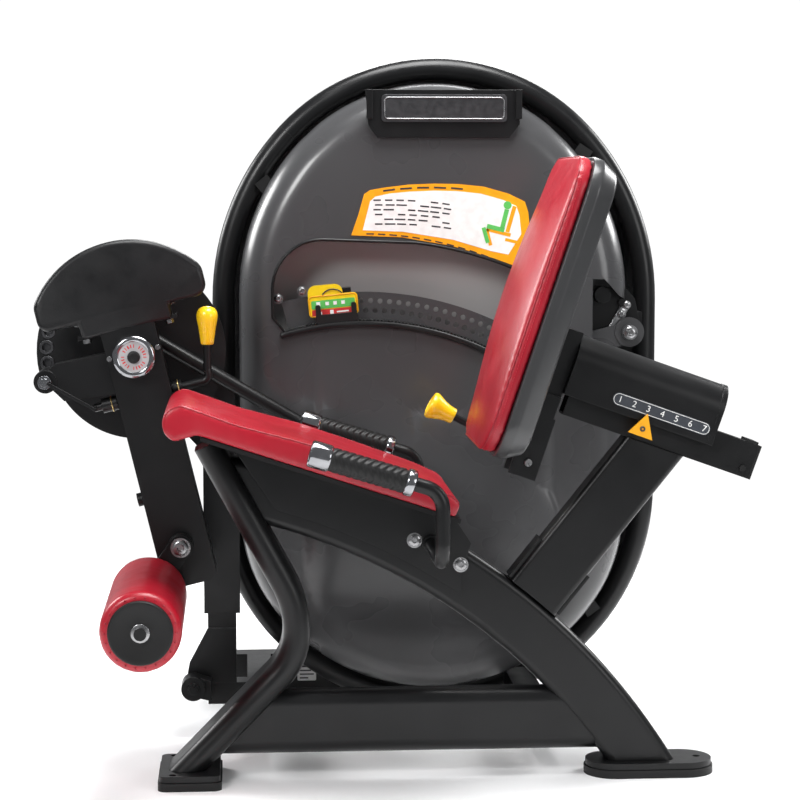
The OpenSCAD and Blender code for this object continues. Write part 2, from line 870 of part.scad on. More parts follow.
module selector_tag() {
  color("#f3cf1e") place() at_carriage(carriage_a + 0.4) slab(sector_y0 - 16, sector_y0 - 10) {
    translate([0, 622]) round2d(100, 44, 8);
    translate([-14, 642]) round2d(70, 44, 16);
  }
}

module squeeze_grip() {
  color("#202124") place() at_carriage(carriage_a) difference() {
    union() {
      slab(sector_y0 - 36, sector_y0 - 20) translate([0, 596]) round2d(86, 18, 8);
      for (s = [-1, 1])
        slab(sector_y0 - 36, sector_y0 - 17) translate([s * 36, 610]) round2d(10, 30, 4);
    }
    translate([-50, sector_y0 - 17, 560]) cube([100, 20, 20]);
  }
}

// Back rest
module d_profile(w, low, lift, inset) {
  half = w / 2 - inset;
  translate([-half, low]) square([2 * half, lift + 6 - low]);
  translate([0, lift + 6]) circle(r = half);
}

module along_rail(u0, u1) {
  rail_frame() translate([u0, 0, 0]) rotate([90, 0, 90]) linear_extrude(height = u1 - u0) children();
}

module back_carriage() {
  color("#1e1f21") place() {
    difference() {
      along_rail(car_u0, car_u1) d_profile(car_w, car_low, car_lift, 0);
      along_rail(car_u0 + 6, car_u1 + 5) translate([0, -20]) d_profile(car_w, car_low, car_lift + 20, 4);
      along_rail(car_u0 - 5, car_u0 + 10) translate([-rail_w / 2 - 1, -20]) square([rail_w + 2, 53.5]);
    }
    for (u = [car_u0 + 134, car_u1 - 70], s = [-1, 1])
      rail_frame() translate([u, s > 0 ? rail_w / 2 + 0.3 : -car_w / 2 + 4, car_low])
        cube([46, car_w / 2 - 4 - rail_w / 2 - 0.3, 26]);
    for (u = [car_u0 + 134, car_u1 - 70])
      rail_frame() translate([u, -car_w / 2 + 4, rail_h / 2 + 0.4]) cube([46, car_w - 8, 12]);
    difference() {
      along_rail(car_u1, car_u1 + 10) d_profile(car_w + 2, car_low, car_lift, 0);
      along_rail(car_u1 - 5, car_u1 + 15) translate([-rail_w / 2 - 1, -20]) square([rail_w + 2, 53.5]);
    }
  }
}

module scale_plate() {
  color("#2a2d33") place() rail_frame() translate([8, -car_w / 2, 29]) rotate([90, 0, 0])
    linear_extrude(height = 1) round2d(190, 24, 11.9);
}

module back_frame() {
  translate([back_x, 0, back_z]) rotate([0, back_tilt, 0]) children();
}

module back_bracket() {
  color("#17181a") place() {
    difference() {
      union() {
        back_frame() translate([88, -60, 120]) cube([8, 120, 240]);
        back_frame() translate([96, -32, 130]) cube([60, 64, 130]);
        for (s = [-1, 1])
          back_frame() translate([88, s > 0 ? 30 : -38, -24]) cube([52, 8, 160]);
      }
      rail_frame() translate([car_u0, -80, car_low - 50]) cube([400, 160, 300]);
      rail_frame() translate([car_u0 - 90, -rail_w / 2 - 3, -60]) cube([200, rail_w + 6, 60 + 36]);
      peg(lever_x, lever_z, 7 + run, -100, 100);
    }
    for (t = [150, 340], s = [-1, 1])
      back_frame() translate([96, s * 46, t]) rotate([0, 90, 0]) cylinder(r = 8, h = 6, $fn = 6);
  }
}

module back_shell() {
  color("#55575b") place() back_frame() difference() {
    union() {
    translate([64, 0, back_h / 2 + 2]) rotate([0, 90, 0]) linear_extrude(height = 24)
      round2d(back_h - 34, back_w - 34, 60);
      translate([38, 0, back_h / 2 + 2]) rotate([0, 90, 0]) linear_extrude(height = 26)
      round2d(back_h, back_w, 70);
    }
    translate([30, 0, back_h / 2 + 2]) rotate([0, 90, 0]) linear_extrude(height = 53)
      round2d(back_h - 44, back_w - 44, 55);
  }
}

module back_pad() {
  color("#c2142e") place() back_frame() {
    translate([-4, 0, back_h / 2 + 2]) rotate([0, 90, 0]) linear_extrude(height = 42)
      round2d(back_h - 2, back_w - 2, 70);
    translate([-20, 0, back_h / 2 + 2]) rotate([0, 90, 0]) linear_extrude(height = 16)
      round2d(back_h - 50, back_w - 50, 60);
  }
}

module release_lever() {
  reach = 145;
  color("#f6c414") place() {
    peg(lever_x, lever_z, 7, -44, 232);
    translate([lever_x, 225, lever_z]) rotate([0, -62, 0]) {
      cylinder(r = 7, h = reach);
      translate([0, 0, reach - 18]) cylinder(r1 = 14, r2 = 24, h = 40);
      translate([0, 0, reach + 22]) cylinder(r = 24, h = 11);
    }
  }
}

base_rail();
spine_tube();
front_leg();
front_foot();
rear_foot();
foot_rubbers();
column();
column_gussets();
slide_rail();
rail_end_plug();
pointer();
seat_supports();
seat_board();
seat_pad();
handle_bars();
hand_grips();
grip_collars();
frame_bolts();
tower_ring();
cross_tubes();
tower_upright();
base_lug();
knee_bearing();
crank_bracket();
shroud_front();
shroud_rear();
shroud_clips();
window_backing();
header_bracket();
header_plate();
placard();
serial_label();
sector_bracket();
drive_disc();
knee_shaft();
index_bushings();
leg_arm();
counterweight();
arm_bolts();
knee_cap();
knee_label();
index_bracket();
index_pin();
start_lever();
lever_knob();
roller_link();
roller_pad();
roller_caps();
connecting_rod();
input_crank();
weight_arm();
selector_carriage();
selector_tag();
squeeze_grip();
back_carriage();
scale_plate();
back_bracket();
back_shell();
back_pad();
release_lever();
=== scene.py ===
import math

import bmesh
import bpy
from mathutils import Matrix, Vector


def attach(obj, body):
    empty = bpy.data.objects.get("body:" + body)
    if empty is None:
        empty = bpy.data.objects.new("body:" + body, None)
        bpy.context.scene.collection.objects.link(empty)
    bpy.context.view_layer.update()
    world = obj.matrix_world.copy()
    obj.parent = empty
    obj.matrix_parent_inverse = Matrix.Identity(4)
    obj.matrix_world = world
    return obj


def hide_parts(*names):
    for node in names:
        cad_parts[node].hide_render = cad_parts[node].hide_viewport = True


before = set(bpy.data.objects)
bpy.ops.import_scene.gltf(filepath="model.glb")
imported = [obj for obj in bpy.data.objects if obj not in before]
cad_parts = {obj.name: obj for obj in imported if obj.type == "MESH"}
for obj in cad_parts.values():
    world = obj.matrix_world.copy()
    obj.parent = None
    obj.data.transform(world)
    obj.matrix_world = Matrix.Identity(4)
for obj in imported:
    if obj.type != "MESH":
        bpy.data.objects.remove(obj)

# Seated leg extension machine. Sizes below are millimetres with y = 0 on the seat's centre plane;
# spot() turns them into the shared frame in metres.
CENTRE = Vector((0.2824, 0.20475, 0.0))
scene = bpy.context.scene


def spot(x, y, z):
    """A point of the machine in the shared frame."""
    return Vector((x, y, z)) / 1000 - CENTRE


def tilted(x, y, z, angle):
    """A local frame at a point, turned about the width axis."""
    return Matrix.Translation(spot(x, y, z)) @ Matrix.Rotation(math.radians(angle), 4, "Y")


def shift(x, y, z):
    """A move within a local frame, in millimetres."""
    return Matrix.Translation(Vector((x, y, z)) / 1000)


def turn(angle, axis):
    return Matrix.Rotation(math.radians(angle), 4, axis)


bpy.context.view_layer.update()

# Places and frames shared by several parts
KNEE_X, KNEE_Z = -199, 770
WEIGHT_X, WEIGHT_Z = 247, 235
TOWER_X, TOWER_MID_Z = 395, 600
FACE_Y = 410
POINTER_X = -18
ARM = tilted(KNEE_X, 0, KNEE_Z, -13.5)
RAIL = tilted(750, 0, 652, 19.5)
BACK = tilted(412, 0, 621, 18.6)
ROLLER_X, ROLLER_Z = -174, 322
TOWARDS_USER = turn(90, "X")


# ---------------------------------------------------------------- materials
class Finish:
    """A node material: a principled shader with layered procedural detail."""

    def __init__(self, name, color, rough, metallic=0.0, coat=0.0, edge=0.0, specular=0.5):
        self.mat = bpy.data.materials.new(name)
        self.mat.use_nodes = True
        self.nodes = self.mat.node_tree.nodes
        self.links = self.mat.node_tree.links
        self.shader = self.nodes["Principled BSDF"]
        self.shader.inputs["Base Color"].default_value = (*color, 1)
        self.shader.inputs["Roughness"].default_value = rough
        self.shader.inputs["Metallic"].default_value = metallic
        self.shader.inputs["Coat Weight"].default_value = coat
        self.shader.inputs["Coat Roughness"].default_value = 0.15
        self.shader.inputs["Specular IOR Level"].default_value = specular
        self.mat.diffuse_color = (*color, 1)
        self.color = color
        self.coords = self.nodes.new("ShaderNodeTexCoord")
        self.normal = None
        if edge:
            bevel = self.nodes.new("ShaderNodeBevel")
            bevel.samples = 4
            bevel.inputs["Radius"].default_value = edge
            self.normal = bevel.outputs["Normal"]
            self.links.new(self.normal, self.shader.inputs["Normal"])

    def noise(self, scale, detail=3.0, stretch=(1, 1, 1)):
        mapping = self.nodes.new("ShaderNodeMapping")
        mapping.inputs["Scale"].default_value = stretch
        self.links.new(self.coords.outputs["Object"], mapping.inputs["Vector"])
        noise = self.nodes.new("ShaderNodeTexNoise")
        noise.inputs["Scale"].default_value = scale
        noise.inputs["Detail"].default_value = detail
        self.links.new(mapping.outputs["Vector"], noise.inputs["Vector"])
        return noise.outputs["Fac"]

    def cells(self, scale):
        cells = self.nodes.new("ShaderNodeTexVoronoi")
        cells.feature = "DISTANCE_TO_EDGE"
        cells.inputs["Scale"].default_value = scale
        self.links.new(self.coords.outputs["Object"], cells.inputs["Vector"])
        return cells.outputs["Distance"]

    def spread(self, value, low, high, out_low, out_high):
        span = self.nodes.new("ShaderNodeMapRange")
        for key, number in zip(("From Min", "From Max", "To Min", "To Max"), (low, high, out_low, out_high)):
            span.inputs[key].default_value = number
        self.links.new(value, span.inputs["Value"])
        return span.outputs["Result"]

    def roughness(self, value, low, high):
        self.links.new(self.spread(value, 0.3, 0.7, low, high), self.shader.inputs["Roughness"])
        return self

    def tint(self, value, dark, light, low=0.35, high=0.65):
        mix = self.nodes.new("ShaderNodeMix")
        mix.data_type = "RGBA"
        mix.inputs["A"].default_value = (*[c * dark for c in self.color], 1)
        mix.inputs["B"].default_value = (*[c * light for c in self.color], 1)
        self.links.new(self.spread(value, low, high, 0, 1), mix.inputs["Factor"])
        self.links.new(mix.outputs["Result"], self.shader.inputs["Base Color"])
        return self

    def bump(self, value, strength, depth):
        bump = self.nodes.new("ShaderNodeBump")
        bump.inputs["Strength"].default_value = strength
        bump.inputs["Distance"].default_value = depth
        self.links.new(value, bump.inputs["Height"])
        if self.normal is not None:
            self.links.new(self.normal, bump.inputs["Normal"])
        self.normal = bump.outputs["Normal"]
        self.links.new(self.normal, self.shader.inputs["Normal"])
        return self


def powder_coat(name, color, rough):
    coat = Finish(name, color, rough, coat=0.06, edge=0.0022, specular=0.32)
    coat.tint(coat.noise(7, 2), 0.92, 1.1)
    coat.roughness(coat.noise(16, 3), rough - 0.04, rough + 0.06)
    coat.bump(coat.noise(60, 2), 0.06, 0.0006)
    return coat.bump(coat.noise(900, 2), 0.22, 0.0003).mat


def casting(name, color):
    cast = Finish(name, color, 0.42, coat=0.06, edge=0.0015, specular=0.32)
    cast.tint(cast.noise(9, 5), 0.8, 1.3)
    cast.roughness(cast.noise(30, 5), 0.36, 0.52)
    cast.bump(cast.noise(110, 4), 0.25, 0.0008)
    return cast.bump(cast.noise(700, 2), 0.2, 0.0003).mat


def vinyl(name, color):
    skin = Finish(name, color, 0.36, coat=0.10)
    skin.tint(skin.noise(5, 4), 0.86, 1.08)
    skin.roughness(skin.noise(22, 4), 0.32, 0.46)
    skin.bump(skin.noise(26, 3), 0.18, 0.0012)
    skin.bump(skin.cells(620), 0.30, 0.00035)
    return skin.bump(skin.noise(1500, 2), 0.10, 0.0002).mat


def moulded(name, color, rough, coat, grain, edge=0.0, specular=0.5):
    shell = Finish(name, color, rough, coat=coat, edge=edge, specular=specular)
    shell.tint(shell.noise(3, 1), 0.97, 1.04, 0.2, 0.8)
    shell.roughness(shell.noise(9, 2), rough - 0.02, rough + 0.03)
    shell.bump(shell.noise(14, 1), 0.04, 0.0009)
    return shell.bump(shell.noise(grain, 2), 0.10, 0.0002).mat


def metal(name, color, rough, edge=0.0008):
    plate = Finish(name, color, rough, metallic=1.0, edge=edge)
    plate.tint(plate.noise(40, 4), 0.88, 1.05)
    plate.roughness(plate.noise(90, 5), max(rough - 0.04, 0.04), rough + 0.08)
    return plate.bump(plate.noise(500, 3), 0.06, 0.0002).mat


def printed(name, color, rough=0.4):
    ink = Finish(name, color, rough, coat=0.25)
    ink.tint(ink.noise(60, 3), 0.93, 1.04)
    ink.roughness(ink.noise(120, 3), rough - 0.04, rough + 0.08)
    return ink.bump(ink.noise(700, 2), 0.06, 0.0001).mat


POWDER = powder_coat("powder_black", (0.0045, 0.0046, 0.005), 0.36)
FRAME_SIDE = powder_coat("powder_tower", (0.0055, 0.0056, 0.006), 0.32)
CAST = casting("cast_black", (0.006, 0.0062, 0.0068))
CHROME = metal("chrome_trim", (0.36, 0.365, 0.38), 0.12)
STEEL = metal("bolt_steel", (0.34, 0.34, 0.345), 0.28)
DARK_STEEL = metal("dark_steel", (0.10, 0.10, 0.105), 0.38)
BRASS = metal("brass_trim", (0.62, 0.46, 0.20), 0.32)
VINYL = vinyl("red_vinyl", (0.37, 0.0035, 0.016))
VINYL_SEAM = vinyl("red_seam", (0.28, 0.003, 0.014))
THREAD = printed("red_thread", (0.50, 0.03, 0.05), 0.6)
BOARD = moulded("black_board", (0.005, 0.005, 0.0053), 0.55, coat=0.0, grain=500, edge=0.0015, specular=0.3)
RUBBER = moulded("black_rubber", (0.006, 0.006, 0.0062), 0.48, coat=0.0, grain=420, specular=0.35)
SHROUD = moulded("shroud_grey", (0.050, 0.050, 0.052), 0.28, coat=0.30, grain=1500)
LINER = moulded("liner_grey", (0.40, 0.39, 0.385), 0.42, coat=0.10, grain=900)
SHELL = moulded("shell_grey", (0.036, 0.0365, 0.038), 0.32, coat=0.25, grain=800)
YELLOW = moulded("yellow_knob", (0.92, 0.58, 0.01), 0.26, coat=0.3, grain=900)
ORANGE = moulded("orange_trim", (0.90, 0.40, 0.01), 0.30, coat=0.3, grain=900)
WHITE = printed("label_white", (0.84, 0.84, 0.82))
LABEL_ORANGE = printed("label_orange", (0.90, 0.36, 0.0))
LABEL_YELLOW = printed("label_yellow", (0.86, 0.62, 0.0))
LABEL_GREEN = printed("label_green", (0.10, 0.50, 0.10))
LABEL_RED = printed("label_red", (0.60, 0.03, 0.03))
INK = printed("label_ink", (0.03, 0.03, 0.035))
FACE_GREY = printed("knee_face_grey", (0.42, 0.42, 0.43))
SLATE = printed("scale_slate", (0.040, 0.045, 0.055), 0.35)

FINISHES = {
    POWDER: "base_rail spine_tube front_leg front_foot rear_foot column column_gussets slide_rail"
            " seat_supports handle_bars leg_arm index_bracket start_lever roller_link connecting_rod"
            " back_carriage back_bracket",
    FRAME_SIDE: "tower_ring cross_tubes tower_upright base_lug knee_bearing crank_bracket header_bracket"
                " sector_bracket selector_carriage",
    CAST: "drive_disc input_crank counterweight",
    CHROME: "grip_collars knee_cap index_pin",
    STEEL: "frame_bolts knee_shaft arm_bolts",
    DARK_STEEL: "index_bushings header_plate",
    VINYL: "seat_pad back_pad roller_pad",
    BOARD: "seat_board",
    RUBBER: "foot_rubbers hand_grips rail_end_plug roller_caps squeeze_grip shroud_clips",
    SHROUD: "shroud_front shroud_rear weight_arm",
    LINER: "window_backing",
    SHELL: "back_shell",
    YELLOW: "lever_knob release_lever",
    ORANGE: "pointer",
    LABEL_ORANGE: "placard",
    WHITE: "serial_label knee_label",
    LABEL_YELLOW: "selector_tag",
    SLATE: "scale_plate",
}
for finish, names in FINISHES.items():
    for name in names.split():
        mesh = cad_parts[name].data
        mesh.materials.clear()
        mesh.materials.append(finish)


# ---------------------------------------------------------------- builders
def add(name, mesh, material, matrix=None, smooth=True):
    """An object from a mesh, placed by baking the matrix into it."""
    if matrix is not None:
        mesh.transform(matrix)
    mesh.materials.append(material)
    for face in mesh.polygons:
        face.use_smooth = smooth
    obj = bpy.data.objects.new(name, mesh)
    scene.collection.objects.link(obj)
    return obj


def built(name, work, material, matrix=None, smooth=True):
    """An object from a finished bmesh."""
    mesh = bpy.data.meshes.new(name)
    work.to_mesh(mesh)
    work.free()
    return add(name, mesh, material, matrix, smooth)


def evaluated(obj):
    """A plain mesh of the object as its modifiers or its curve make it."""
    bpy.context.view_layer.update()
    graph = bpy.context.evaluated_depsgraph_get()
    return bpy.data.meshes.new_from_object(obj.evaluated_get(graph))


def from_data(name, data, material, matrix=None, smooth=True):
    """A mesh object from a curve or a text."""
    holder = bpy.data.objects.new(name, data)
    scene.collection.objects.link(holder)
    mesh = evaluated(holder)
    bpy.data.objects.remove(holder)
    mesh.materials.clear()
    return add(name, mesh, material, matrix, smooth)


def bake(obj):
    """Applies the object's modifiers."""
    mesh = evaluated(obj)
    obj.modifiers.clear()
    obj.data = mesh
    return obj


def smoothed(obj):
    for face in obj.data.polygons:
        face.use_smooth = True
    return obj


def ring_faces(count, rings):
    """Quads between neighbouring rings of count points each."""
    faces = []
    for k in range(rings - 1):
        for i in range(count):
            j = (i + 1) % count
            faces.append((k * count + i, k * count + j, (k + 1) * count + j, (k + 1) * count + i))
    return faces


def skin(name, verts, faces, weld):
    """A mesh with its doubled points welded and its normals outwards."""
    mesh = bpy.data.meshes.new(name)
    mesh.from_pydata(verts, [], faces)
    work = bmesh.new()
    work.from_mesh(mesh)
    bmesh.ops.remove_doubles(work, verts=work.verts, dist=weld)
    bmesh.ops.recalc_face_normals(work, faces=work.faces)
    work.to_mesh(mesh)
    work.free()
    return mesh


def soften(obj, width, steps=3, limit=35):
    """Rounds the sharp edges and keeps flat faces flat."""
    bevel = obj.modifiers.new("round", "BEVEL")
    bevel.width = width / 1000
    bevel.segments = steps
    bevel.limit_method = "ANGLE"
    bevel.angle_limit = math.radians(limit)
    bevel.harden_normals = True
    return bake(obj)


def lathe(name, profile, matrix, material, steps=64):
    """Turns (radius, height) pairs round the local z axis."""
    verts = []
    for radius, height in profile:
        for i in range(steps):
            a = 2 * math.pi * i / steps
            verts.append(Vector((radius * math.cos(a), radius * math.sin(a), height)) / 1000)
    mesh = skin(name, verts, ring_faces(steps, len(profile)), 1e-6)
    return crisp(add(name, mesh, material, matrix))


def crisp(obj, angle=38):
    """Keeps sharp edges sharp where smooth shading would smear them."""
    work = bmesh.new()
    work.from_mesh(obj.data)
    for edge in work.edges:
        edge.smooth = len(edge.link_faces) == 2 and edge.calc_face_angle() < math.radians(angle)
    work.to_mesh(obj.data)
    work.free()
    return obj


def prism(name, outline, y0, y1, material, matrix=None, rounding=0.0, steps=3):
    """A plate with this (x, z) outline between two depths, in the given local frame or the machine's own."""
    work = bmesh.new()
    front = [work.verts.new(Vector((x, y0, z)) / 1000) for x, z in outline]
    back = [work.verts.new(Vector((x, y1, z)) / 1000) for x, z in outline]
    work.faces.new(front)
    work.faces.new(back[::-1])
    for i in range(len(outline)):
        j = (i + 1) % len(outline)
        work.faces.new((front[j], front[i], back[i], back[j]))
    bmesh.ops.recalc_face_normals(work, faces=work.faces)
    obj = built(name, work, material, matrix or Matrix.Translation(-CENTRE), smooth=False)
    if rounding:
        smoothed(soften(obj, rounding, steps))
    return obj


def tube(name, points, radius, material, closed=False):
    """A round cord through points of the shared frame, radius in millimetres."""
    curve = bpy.data.curves.new(name, "CURVE")
    curve.dimensions = "3D"
    curve.bevel_depth = radius / 1000
    curve.bevel_resolution = 3
    curve.use_fill_caps = True
    line = curve.splines.new("POLY")
    line.points.add(len(points) - 1)
    for knot, point in zip(line.points, points):
        knot.co = (*point, 1)
    line.use_cyclic_u = closed
    return from_data(name, curve, material)


def arc(x, z, r, a0, a1, n):
    """Points of an arc about (x, z), angles in degrees."""
    steps = [math.radians(a0 + (a1 - a0) * i / n) for i in range(n + 1)]
    return [(x + r * math.cos(a), z + r * math.sin(a)) for a in steps]


def rounded(w, h, r, n, cx=0, cz=0):
    """A rectangle with round corners about (cx, cz)."""
    points = []
    for sx, sz, a in ((1, 1, 0), (-1, 1, 90), (-1, -1, 180), (1, -1, 270)):
        points += arc(cx + sx * (w / 2 - r), cz + sz * (h / 2 - r), r, a, a + 90, n)
    return points


def inset(outline, d):
    """Moves each corner of a counter-clockwise outline inwards."""
    moved = []
    for i, (x, z) in enumerate(outline):
        px, pz = outline[i - 1]
        nx, nz = outline[(i + 1) % len(outline)]
        a = Vector((x - px, z - pz)).normalized()
        b = Vector((nx - x, nz - z)).normalized()
        side = Vector((-a.y - b.y, a.x + b.x))
        side /= max(side.length_squared / 2, 0.4)
        moved.append((x + side.x * d, z + side.y * d))
    return moved


def gap_to(outline, x, z):
    """Distance from a point to the outline."""
    best = 1e9
    p = Vector((x, z))
    for i, corner in enumerate(outline):
        a = Vector(corner)
        b = Vector(outline[(i + 1) % len(outline)])
        along = max(0.0, min(1.0, (p - a).dot(b - a) / max((b - a).length_squared, 1e-9)))
        best = min(best, (p - a.lerp(b, along)).length)
    return best


CLOTH_STEPS = 20


def cushion(obj, seam, cap, cell, foam=None):
    """Inflates a pad between its seams by cloth pressure, by at most cap millimetres.

    seam(point) is true where the skin is sewn down; foam(point) moves the skin out over shaped foam first.
    cell is the size of the skin's faces in millimetres.
    """
    remesh = obj.modifiers.new("remesh", "REMESH")
    remesh.mode = "VOXEL"
    remesh.voxel_size = cell / 1000
    bake(obj)
    if foam:
        for vert in obj.data.vertices:
            vert.co = foam(vert.co)
    start = [v.co.copy() for v in obj.data.vertices]
    group = obj.vertex_groups.new(name="seam")
    group.add([i for i, co in enumerate(start) if seam(co)], 1.0, "REPLACE")
    cloth = obj.modifiers.new("cloth", "CLOTH")
    cloth.settings.use_pressure = True
    cloth.settings.uniform_pressure_force = 4
    cloth.settings.vertex_group_mass = "seam"
    cloth.settings.effector_weights.gravity = 0
    for step in range(1, CLOTH_STEPS + 1):
        scene.frame_set(step)
    bake(obj)
    scene.frame_set(1)
    for vert, co in zip(obj.data.vertices, start):
        move = vert.co - co
        vert.co = co + move * (cap / 1000 / (cap / 1000 + move.length))
    relax = obj.modifiers.new("relax", "SMOOTH")
    relax.factor = 0.5
    relax.iterations = 4
    fine = obj.modifiers.new("fine", "SUBSURF")
    fine.levels = 1
    fine.render_levels = 1
    bake(obj)
    obj.data.materials.clear()
    obj.data.materials.append(VINYL)
    smoothed(obj)
    return obj


def on_surface(obj, points, lift):
    """Points dropped onto an object's skin and lifted off it by a little."""
    found = []
    for point in points:
        _, place, normal, _ = obj.closest_point_on_mesh(point)
        found.append(place + normal * lift / 1000)
    return found


def resample(points, pitch):
    """Points at an even pitch in millimetres along a polyline."""
    out = [points[0]]
    left = pitch / 1000
    for a, b in zip(points, points[1:]):
        length = (b - a).length
        done = 0.0
        while length - done >= left:
            done += left
            out.append(a.lerp(b, done / length))
            left = pitch / 1000
        left -= length - done
    return out


STITCH_PITCH, STITCH_R = 5.5, 0.7


def stitching(name, points):
    """A row of short thread stitches along a path."""
    work = bmesh.new()
    path = resample(points, STITCH_PITCH)
    for a, b in zip(path, path[1:]):
        way = b - a
        place = Matrix.Translation(a.lerp(b, 0.5)) @ way.to_track_quat("Z", "Y").to_matrix().to_4x4()
        grow = Matrix.Diagonal((STITCH_R / 1000, STITCH_R / 1000, way.length * 0.36, 1))
        bmesh.ops.create_icosphere(work, subdivisions=1, radius=1, matrix=place @ grow)
    return built(name, work, THREAD)


def ridden(obj, body, slot=None, *nodes):
    """Puts a finished piece on its body and, if named, in place of CAD nodes."""
    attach(obj, body)
    if nodes:
        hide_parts(*nodes)
    return obj


# ---------------------------------------------------------------- seat
SEAT_SLOPE = math.tan(math.radians(18.2))


def seat_line(x):
    """Height of the seat's underside."""
    return 622 - x * SEAT_SLOPE


SEAT_SIDE = arc(-104, 676, 38, 255, 80, 14)
SEAT_SIDE += [(0, 678), (112, 648), (220, 611), (330, 571), (378, 549), (394, 533)]
SEAT_SIDE += [(x, seat_line(x) + 4) for x in (383, -76)]
SEAT_SIDE = SEAT_SIDE[::-1]
SEAT_CORE = inset(SEAT_SIDE, 5)
SEAT_HALF = 170
SEAM_W = 8


def seat_seam(co):
    p = (co + CENTRE) * 1000
    low = p.z < seat_line(p.x) + 17
    return low or (gap_to(SEAT_CORE, p.x, p.z) < SEAM_W and SEAT_HALF - abs(p.y) < SEAM_W)


seat = prism("seat_cushion", SEAT_CORE, -SEAT_HALF, SEAT_HALF, VINYL)
cushion(seat, seat_seam, cap=15, cell=6)
ridden(seat, "frame", "red_vinyl", "seat_pad")
for side in (-1, 1):
    tag = "near" if side < 0 else "far"
    rim = inset(SEAT_SIDE, 4)
    rim_path = [spot(x, side * (SEAT_HALF - 1), z) for x, z in rim if z > seat_line(x) + 20]
    piping = tube(f"seat_piping_{tag}", on_surface(seat, resample(rim_path, 6), 0.2), 1.5, VINYL_SEAM)
    ridden(piping, "frame", "red_vinyl")
    upper = [(x, z) for x, z in SEAT_SIDE if x > -138 and z > seat_line(x) + 45]
    top = [spot(x, side * (SEAT_HALF - 13), z + 6) for x, z in upper]
    row = stitching(f"seat_stitches_{tag}", on_surface(seat, resample(top, 3), 0.35))
    ridden(row, "frame", "red_vinyl")

# ---------------------------------------------------------------- back rest
BACK_H, BACK_W = 560, 380
BACK_FRONT = 12
BACK_REAR = 37
BACK_CROWN = 27
BACK_CORNER = 66
back_face = rounded(BACK_H - 10, BACK_W - 10, BACK_CORNER, 10)
# The prism's depth axis becomes the pad's face normal
BACK_MID = BACK @ shift(0, 0, BACK_H / 2 + 2)
FACE_ON = BACK_MID @ Matrix(((0, 1, 0, 0), (0, 0, 1, 0), (1, 0, 0, 0), (0, 0, 0, 1)))
BACK_INV = BACK_MID.inverted()


def back_foam(co):
    """Foam thickest in the middle of the pad, thin towards its ends."""
    p = BACK_INV @ co * 1000
    rise = (1 - min(1, abs(p.z) / 276) ** 1.9) * (1 - min(1, abs(p.y) / 186) ** 3)
    p.x -= BACK_CROWN * rise * max(0, (BACK_REAR - p.x) / (BACK_REAR - BACK_FRONT))
    return BACK_MID @ (p / 1000)


def back_seam(co):
    p = BACK_INV @ co * 1000
    rear = p.x > BACK_REAR - 7
    edge = gap_to(back_face, p.z, p.y) < 9
    return rear or (edge and p.x < BACK_FRONT + 9)


back = prism("back_cushion", back_face, BACK_FRONT, BACK_REAR, VINYL, FACE_ON)
cushion(back, back_seam, cap=14, cell=6, foam=back_foam)
ridden(back, "back", "red_vinyl", "back_pad")


def back_ring(n, grow):
    """A closed line round the pad at depth n, grown outwards."""
    ring = rounded(BACK_H - 10 + 2 * grow, BACK_W - 10 + 2 * grow, BACK_CORNER + grow, 16)
    points = [BACK_MID @ (Vector((n, y, t)) / 1000) for t, y in ring]
    return points + points[:1]


piping = tube("back_piping", on_surface(back, resample(back_ring(BACK_FRONT, 0), 6), 0.2), 1.6, VINYL_SEAM)
ridden(piping, "back", "red_vinyl")
row = stitching("back_stitches", on_surface(back, resample(back_ring(BACK_FRONT + 9, 2), 3), 0.3))
ridden(row, "back", "red_vinyl")

# Depth and outward growth of each ring of the moulded shell
shell_rings = [(BACK_REAR, 0), (38, 3), (56, 3), (61, 0), (84, -13), (88, -19)]
work = bmesh.new()
loops = []
for n, grow in shell_rings:
    ring = rounded(BACK_H - 6 + 2 * grow, BACK_W - 6 + 2 * grow, BACK_CORNER + 2 + grow, 16)
    loops.append([work.verts.new(Vector((n, y, t)) / 1000) for t, y in ring])
for lower, upper in zip(loops, loops[1:]):
    for i in range(len(lower)):
        j = (i + 1) % len(lower)
        work.faces.new((lower[i], lower[j], upper[j], upper[i]))
work.faces.new(loops[-1])
work.faces.new(loops[0][::-1])
bmesh.ops.recalc_face_normals(work, faces=work.faces)
shell = built("back_shell_moulding", work, SHELL, BACK_MID, smooth=False)
soften(shell, 2.2, limit=18)
smoothed(crisp(shell, 30))
ridden(shell, "back", "shell_grey", "back_shell")

# ---------------------------------------------------------------- shin roller
ROLLER_Y = 150
ROLLER_R, ROLLER_L = 72, 391
TACKS, TACK_RING = 22, 62.5
ROLLER = Matrix.Translation(spot(ROLLER_X, ROLLER_Y, ROLLER_Z)) @ TOWARDS_USER
ROLLER_INV = ROLLER.inverted()
roller = lathe("roller_cushion", [(0, 0), (63, 0), (ROLLER_R, 9), (ROLLER_R, ROLLER_L - 9), (63, ROLLER_L),
                                  (0, ROLLER_L)], ROLLER, VINYL, 72)


def roller_seam(co):
    p = ROLLER_INV @ co * 1000
    return p.z < 5 or p.z > ROLLER_L - 5


